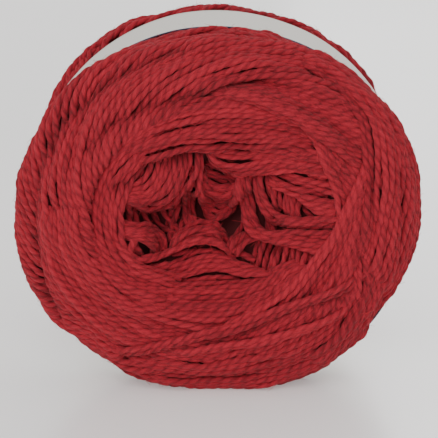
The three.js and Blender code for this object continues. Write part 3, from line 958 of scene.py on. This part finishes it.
def band_place(angle, share):
    """The middle, the way out and the radius of the band at an angle and a share of its width, and if it is
    there."""
    way = Vector((math.cos(angle), 0, math.sin(angle)))
    radius = BAND_RADIUS
    for _ in range(3):
        y = band_middle + band_lean * (AXIS[2] + radius * way.z - band_top / 2) + share * band_length
        middle = Vector((AXIS[0], y, AXIS[2]))
        hit = band_tree.ray_cast((middle + way * BAND_OUTSIDE) * MM, -way, BAND_NEAR_SIDE * MM)
        radius = BAND_OUTSIDE - hit[3] / MM if hit[0] else radius
    return middle, way, radius, hit[0] is not None


def make_band():
    """The paper as one strip with two sides and edges, wound once round and lapped."""
    angles = np.radians(SEAM + np.arange(PAPER_TURN_STEPS + 1) * (360 + LAP) / PAPER_TURN_STEPS)
    shares = np.linspace(-PAPER_SPAN, PAPER_SPAN, PAPER_ROWS)
    middles = np.zeros((len(angles), PAPER_ROWS, 3))
    ways = np.zeros_like(middles)
    radii = np.zeros(middles.shape[:2])
    found = np.zeros(radii.shape, bool)
    for i, angle in enumerate(angles):
        for j, share in enumerate(shares):
            middles[i, j], ways[i, j], radii[i, j], found[i, j] = band_place(angle, share)
        radii[i] = np.interp(shares, shares[found[i]], radii[i][found[i]])
    radii = blurred(blurred(radii, PAPER_BLUR[0], 0), PAPER_BLUR[1], 1)
    wave = wandering(len(angles), *PAPER_WAVE)[:, None] * abs(shares[None] * 2) ** 3
    lap = np.linspace(0, PAPER_THICK * LAP_RISE, len(angles))[:, None]
    outside = radii + abs(wave) + lap
    layers = []
    for depth in (0, PAPER_THICK):
        points = middles + ways * (outside - depth)[..., None]
        points[..., 2] = np.maximum(points[..., 2], PAPER_LOWEST + (PAPER_THICK - depth) * 0.1)
        layers.append(points.reshape(-1, 3))
    points = np.concatenate(layers)
    inner = len(points) // 2
    faces = []
    for i in range(len(angles) - 1):
        for j in range(PAPER_ROWS - 1):
            a = i * PAPER_ROWS + j
            b = a + PAPER_ROWS
            faces.append((a, a + 1, b + 1, b))
            faces.append((inner + a, inner + b, inner + b + 1, inner + a + 1))
    for i in range(len(angles) - 1):
        for a, flip in ((i * PAPER_ROWS, 1), (i * PAPER_ROWS + PAPER_ROWS - 1, -1)):
            b = a + PAPER_ROWS
            faces.append((a, b, inner + b, inner + a)[::flip])
    for j in range(PAPER_ROWS - 1):
        last = (len(angles) - 1) * PAPER_ROWS + j
        faces.append((j + 1, j, inner + j, inner + j + 1))
        faces.append((last, last + 1, inner + last + 1, inner + last))
    made = mesh_object("paper_band", points, np.array(faces), paper)
    from_edge = np.tile((shares + PAPER_SPAN) * band_length, len(angles) * 2)
    add_layer(made, "from_edge", from_edge)
    return made


LINE_WIDTH = 0.8  # of the printed line
paper = bpy.data.materials.new("paper")
paper.use_nodes = True
nodes = paper.node_tree.nodes
links = paper.node_tree.links
past_line = nodes.new("ShaderNodeMath")
past_line.operation = "GREATER_THAN"
past_line.inputs[1].default_value = LINE_WIDTH
links.new(read_layer("from_edge").outputs["Fac"], past_line.inputs[0])
printed = nodes.new("ShaderNodeMix")
printed.data_type = "RGBA"
printed.inputs["A"].default_value = (0.03, 0.04, 0.08, 1)
printed.inputs["B"].default_value = (0.66, 0.63, 0.58, 1)
links.new(past_line.outputs[0], printed.inputs["Factor"])
paper_shader = nodes["Principled BSDF"]
links.new(next(out for out in printed.outputs if out.type == "RGBA"), paper_shader.inputs["Base Color"])
paper_shader.inputs["Roughness"].default_value = 0.7
band = make_band()
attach(band, "root")
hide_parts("band")


# TABLE AND LIGHT
# A pale, slightly glossy table that glows a little, more so to the back, as a lit white surface does. Soft
# light comes from all round, with two large lamps: one like a window in front and a weaker one behind.
table_paint = bpy.data.materials.new("table")
table_paint.use_nodes = True
table_shader = table_paint.node_tree.nodes["Principled BSDF"]
table_shader.inputs["Base Color"].default_value = (0.86, 0.845, 0.84, 1)
table_shader.inputs["Roughness"].default_value = 0.26
table_shader.inputs["IOR"].default_value = 1.9
table_shader.inputs["Specular IOR Level"].default_value = 1.0
table_shader.inputs["Emission Color"].default_value = (1, 0.985, 0.97, 1)
place_on_table = table_paint.node_tree.nodes.new("ShaderNodeTexCoord")
split = table_paint.node_tree.nodes.new("ShaderNodeSeparateXYZ")
glow = table_paint.node_tree.nodes.new("ShaderNodeMapRange")
glow.inputs["From Min"].default_value = -0.05
glow.inputs["From Max"].default_value = 0.5
glow.inputs["To Min"].default_value = 0.26
glow.inputs["To Max"].default_value = 0.40
table_paint.node_tree.links.new(place_on_table.outputs["Object"], split.inputs[0])
table_paint.node_tree.links.new(split.outputs["Y"], glow.inputs["Value"])
table_paint.node_tree.links.new(glow.outputs["Result"], table_shader.inputs["Emission Strength"])
table_corners = np.array([(-3000.0, -2000, 0), (3000, -2000, 0), (3000, 3000, 0), (-3000, 3000, 0)])
table = mesh_object("table", table_corners, np.array([(0, 1, 2, 3)]), table_paint)
world = bpy.data.worlds.new("world")
world.use_nodes = True
world.node_tree.nodes["Background"].inputs["Color"].default_value = (1.0, 0.99, 0.98, 1)
world.node_tree.nodes["Background"].inputs["Strength"].default_value = 0.85
bpy.context.scene.world = world


def add_lamp(name, place_at, size, power):
    """A square lamp that faces the ball, placed in metres."""
    data = bpy.data.lights.new(name, "AREA")
    data.energy = power
    data.size = size
    lamp = bpy.data.objects.new(name, data)
    lamp.location = place_at
    lamp.rotation_euler = (Vector((0, 0, 0.04)) - lamp.location).to_track_quat("-Z", "Y").to_euler()
    bpy.context.collection.objects.link(lamp)


add_lamp("window", (-0.25, -0.9, 0.55), 0.9, 9)
add_lamp("fill", (0.4, 0.9, 0.5), 0.9, 3.5)
